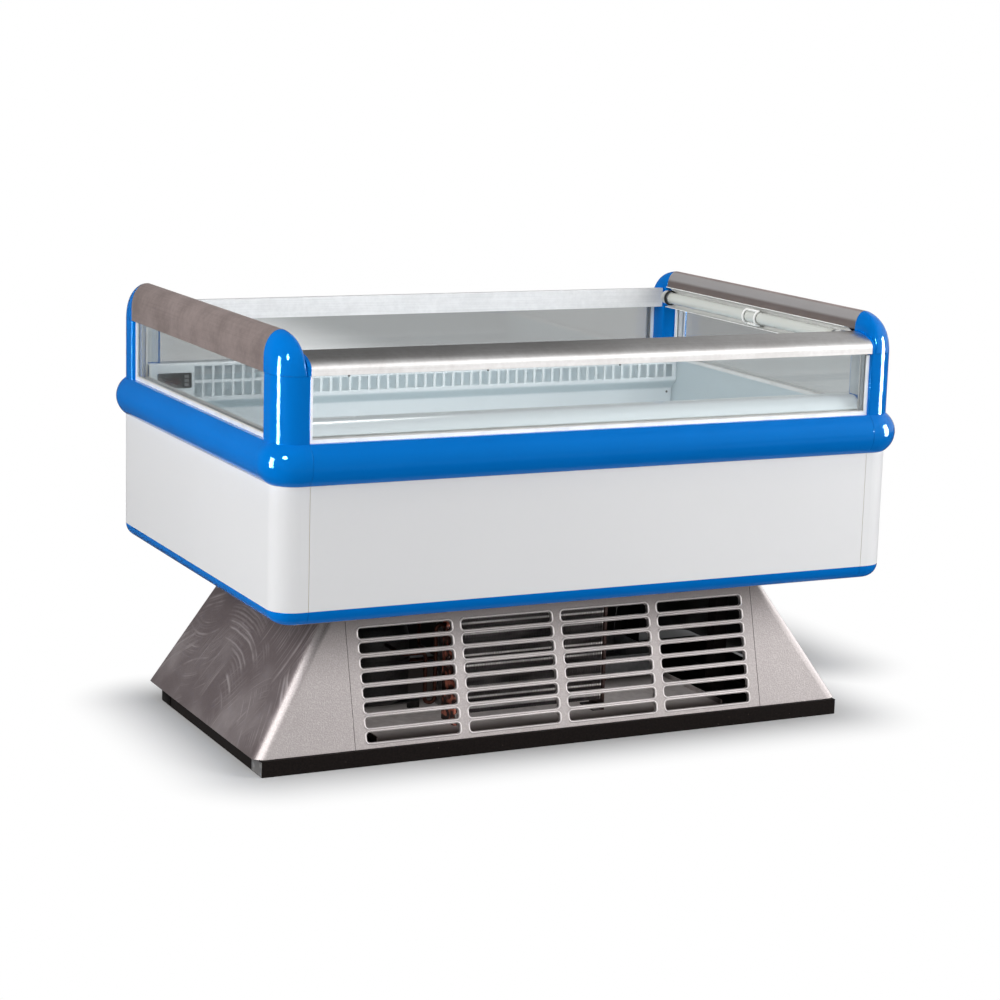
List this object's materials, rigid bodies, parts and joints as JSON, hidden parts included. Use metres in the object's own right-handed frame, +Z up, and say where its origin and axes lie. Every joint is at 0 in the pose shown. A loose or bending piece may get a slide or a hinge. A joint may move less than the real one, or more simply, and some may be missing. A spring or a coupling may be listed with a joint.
{
  "type": "open-top refrigerated island display case",
  "caption": "Insulated open-top display case with glazed sides, hand rails and blue bumpers on a sloping slotted pedestal that holds its cooling unit.",
  "frame": {"origin": "on the floor under the middle of the tank", "axes": "+X to the right along the long front as the picture shows it, +Y to the rear, +Z up"},
  "size_m": [1.392, 0.972, 0.87],
  "materials": {
    "white_paint": "smooth white powder coat",
    "galvanised": "plain galvanised sheet",
    "foam": "rigid polyurethane foam",
    "pale_sheet": "pale blue-white powder coat",
    "blue_gloss": "glossy deep blue moulding",
    "rail_steel": "satin brushed stainless steel",
    "glass": "clear float glass",
    "spacer": "bronze anodised spacer bar",
    "white_channel": "white extruded channel",
    "base_grey": "metallic grey hammered finish",
    "plinth_black": "black painted box tube",
    "machine_black": "satin black enamel",
    "rubber": "moulded rubber",
    "fins": "bare aluminium fins",
    "copper": "bright copper tube",
    "black_plastic": "black moulded plastic",
    "key_grey": "grey silicone keys",
    "pan_plastic": "grey moulded plastic",
    "lamp_white": "white enamel",
    "lamp_glass": "opal coated lamp glass"
  },
  "bodies": {
    "cabinet": {"front_panel": "white_paint", "rear_panel": "white_paint", "left_end_panel": "white_paint", "right_end_panel": "white_paint", "machine_tray": "galvanised", "condenser_shroud": "galvanised", "insulation_foam": "foam", "liner_tub": "pale_sheet", "rear_duct_cover": "pale_sheet", "front_duct_cover": "pale_sheet", "deck_plates": "pale_sheet", "fan_baffle": "pale_sheet", "long_bumpers": "blue_gloss", "end_bumpers": "blue_gloss", "bumper_corners": "blue_gloss", "lower_trim": "blue_gloss", "front_left_post": "blue_gloss", "front_right_post": "blue_gloss", "rear_left_post": "blue_gloss", "rear_right_post": "blue_gloss", "post_caps": "blue_gloss", "front_rail": "rail_steel", "rear_rail": "rail_steel", "left_rail": "rail_steel", "right_rail": "rail_steel", "front_glass": "glass", "rear_glass": "glass", "left_glass": "glass", "right_glass": "glass", "glass_spacers": "spacer", "glazing_channels": "white_channel", "base_left_shell": "base_grey", "base_right_shell": "base_grey", "front_grille_panel": "base_grey", "rear_grille_panel": "base_grey", "plinth_long_tubes": "plinth_black", "plinth_cross_tubes": "plinth_black", "tank_support_frame": "plinth_black", "compressor": "machine_black", "condenser_fan_motor": "machine_black", "tank_underside": "machine_black", "compressor_mounts": "rubber", "condenser_coil": "fins", "evaporator_coil": "fins", "refrigerant_pipes": "copper", "filter_drier": "copper", "evaporator_fan_frames": "black_plastic", "controller_case": "black_plastic", "lampholders": "black_plastic", "mains_gland": "black_plastic", "drip_pan": "pan_plastic", "drain_pipe": "pan_plastic", "lamp_trough": "lamp_white"},
    "condenser_fan": {"condenser_fan": "black_plastic"},
    "evaporator_fan_left": {"evaporator_fan_left": "black_plastic"},
    "evaporator_fan_right": {"evaporator_fan_right": "black_plastic"},
    "lamp_tube": {"lamp_tube": "lamp_glass"},
    "controller_up_key": {"controller_up_key": "key_grey"},
    "controller_set_key": {"controller_set_key": "key_grey"},
    "controller_down_key": {"controller_down_key": "key_grey"}
  },
  "joints": [
    {"name": "condenser_fan_spin", "type": "hinge", "parent": "cabinet", "child": "condenser_fan", "pos_m": [-0.0325, -0.1575, 0.1605], "axis": [0, 1, 0], "continuous": true},
    {"name": "left_evaporator_fan_spin", "type": "hinge", "parent": "cabinet", "child": "evaporator_fan_left", "pos_m": [-0.31, 0.008, 0.4255], "axis": [0, 1, 0], "continuous": true},
    {"name": "right_evaporator_fan_spin", "type": "hinge", "parent": "cabinet", "child": "evaporator_fan_right", "pos_m": [0.31, 0.008, 0.4255], "axis": [0, 1, 0], "continuous": true},
    {"name": "lamp_tube_twist", "type": "hinge", "parent": "cabinet", "child": "lamp_tube", "pos_m": [0.604, 0, 0.81375], "axis": [0, 1, 0], "range_deg": [0, 90]},
    {"name": "up_key_press", "type": "slide", "parent": "cabinet", "child": "controller_up_key", "axis": [0, 1, 0], "range_m": [0, 0.0008], "stiffness_N_per_m": 600},
    {"name": "set_key_press", "type": "slide", "parent": "cabinet", "child": "controller_set_key", "axis": [0, 1, 0], "range_m": [0, 0.0008], "stiffness_N_per_m": 600},
    {"name": "down_key_press", "type": "slide", "parent": "cabinet", "child": "controller_down_key", "axis": [0, 1, 0], "range_m": [0, 0.0008], "stiffness_N_per_m": 600}
  ]
}
